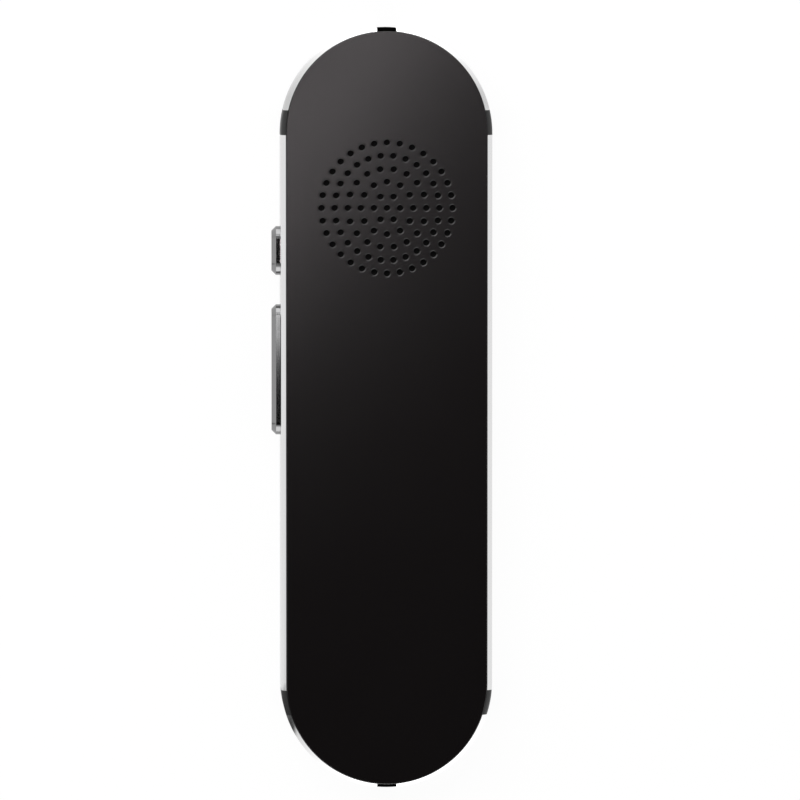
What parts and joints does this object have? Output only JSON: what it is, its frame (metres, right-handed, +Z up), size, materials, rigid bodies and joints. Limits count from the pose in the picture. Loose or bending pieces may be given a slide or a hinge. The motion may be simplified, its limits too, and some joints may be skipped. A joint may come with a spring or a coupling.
{
  "type": "handheld translator",
  "caption": "Flat bar-shaped voice translator with round ends, a bright metal band, a loudspeaker grille, a side power key, a volume rocker and round talk keys.",
  "frame": {"origin": "middle of the front panel's face, on which the translator lies", "axes": "+Y along the body towards the loudspeaker end, +Z up out of the loudspeaker grille, side keys on the -X side"},
  "size_m": [0.04, 0.138, 0.0115],
  "materials": {
    "black_panel": "satin black moulded panel",
    "band": "polished bright metal",
    "break_plastic": "dark grey moulded plastic",
    "end_plastic": "black moulded plastic",
    "chassis_plastic": "dark glass-filled plastic",
    "side_key": "polished bright metal",
    "spring_steel": "stamped thin sheet",
    "steel": "plain steel",
    "flex_film": "amber film",
    "talk_key": "soft matt moulded key",
    "lamp": "small lamp body",
    "clear_plastic": "clear moulded rod",
    "speaker_cloth": "fine black woven cloth",
    "foam": "thin foam tape",
    "magnet": "plated magnet",
    "copper": "enamelled copper winding",
    "cone_film": "pressed film",
    "soft_rubber": "soft black rubber",
    "lead_cover": "coloured wire cover",
    "board": "green solder mask",
    "shield": "tinned thin sheet",
    "chip": "black moulded package",
    "battery_foil": "laminated foil",
    "connector": "ivory moulded connector"
  },
  "bodies": {
    "housing": {"rear_panel": "black_panel", "front_panel": "black_panel", "left_rail": "band", "right_rail": "band", "upper_left_arc": "band", "upper_right_arc": "band", "lower_left_arc": "band", "lower_right_arc": "band", "upper_left_insert": "break_plastic", "upper_right_insert": "break_plastic", "lower_left_insert": "break_plastic", "lower_right_insert": "break_plastic", "top_insert": "end_plastic", "bottom_insert": "end_plastic", "chassis": "chassis_plastic", "power_dome": "spring_steel", "volume_pin": "steel", "volume_domes": "spring_steel", "side_key_flex": "flex_film", "side_key_bracket": "steel", "key_a_dome": "spring_steel", "key_b_dome": "spring_steel", "status_light": "lamp", "light_pipe": "clear_plastic", "speaker_mesh": "speaker_cloth", "speaker_gasket": "foam", "speaker_basket": "chassis_plastic", "speaker_yoke": "steel", "speaker_magnet": "magnet", "speaker_plate": "steel", "speaker_surround": "soft_rubber", "speaker_leads": "lead_cover", "main_board": "board", "board_screws": "steel", "shield_can": "shield", "processor": "chip", "memory_chip": "chip", "wireless_module": "shield", "usb_shell": "shield", "usb_tongue": "chip", "microphone": "shield", "microphone_boot": "soft_rubber", "battery": "battery_foil", "battery_pad": "foam", "battery_leads": "lead_cover", "battery_connector": "connector"},
    "power_key": {"power_button": "side_key"},
    "volume_key": {"volume_rocker": "side_key"},
    "talk_key_a": {"key_a": "talk_key"},
    "talk_key_b": {"key_b": "talk_key"},
    "speaker_cone": {"speaker_cone": "cone_film", "voice_coil": "copper"}
  },
  "joints": [
    {"name": "power_press", "type": "slide", "parent": "housing", "child": "power_key", "axis": [1, 0, 0], "range_m": [0, 0.00025], "stiffness_N_per_m": 900, "deforming": ["power_dome"]},
    {"name": "volume_rock", "type": "hinge", "parent": "housing", "child": "volume_key", "pos_m": [-0.01615, 0.0069, 0.00575], "axis": [0, 0, 1], "range_deg": [-1.2, 1.2], "stiffness_Nm_per_rad": 0.06, "deforming": ["volume_domes"]},
    {"name": "key_a_press", "type": "slide", "parent": "housing", "child": "talk_key_a", "axis": [0, 0, 1], "range_m": [0, 0.00025], "stiffness_N_per_m": 900, "deforming": ["key_a_dome"]},
    {"name": "key_b_press", "type": "slide", "parent": "housing", "child": "talk_key_b", "axis": [0, 0, 1], "range_m": [0, 0.00025], "stiffness_N_per_m": 900, "deforming": ["key_b_dome"]},
    {"name": "cone_travel", "type": "slide", "parent": "housing", "child": "speaker_cone", "axis": [0, 0, 1], "range_m": [-0.0002, 0.0002], "stiffness_N_per_m": 900, "deforming": ["speaker_surround"]}
  ]
}
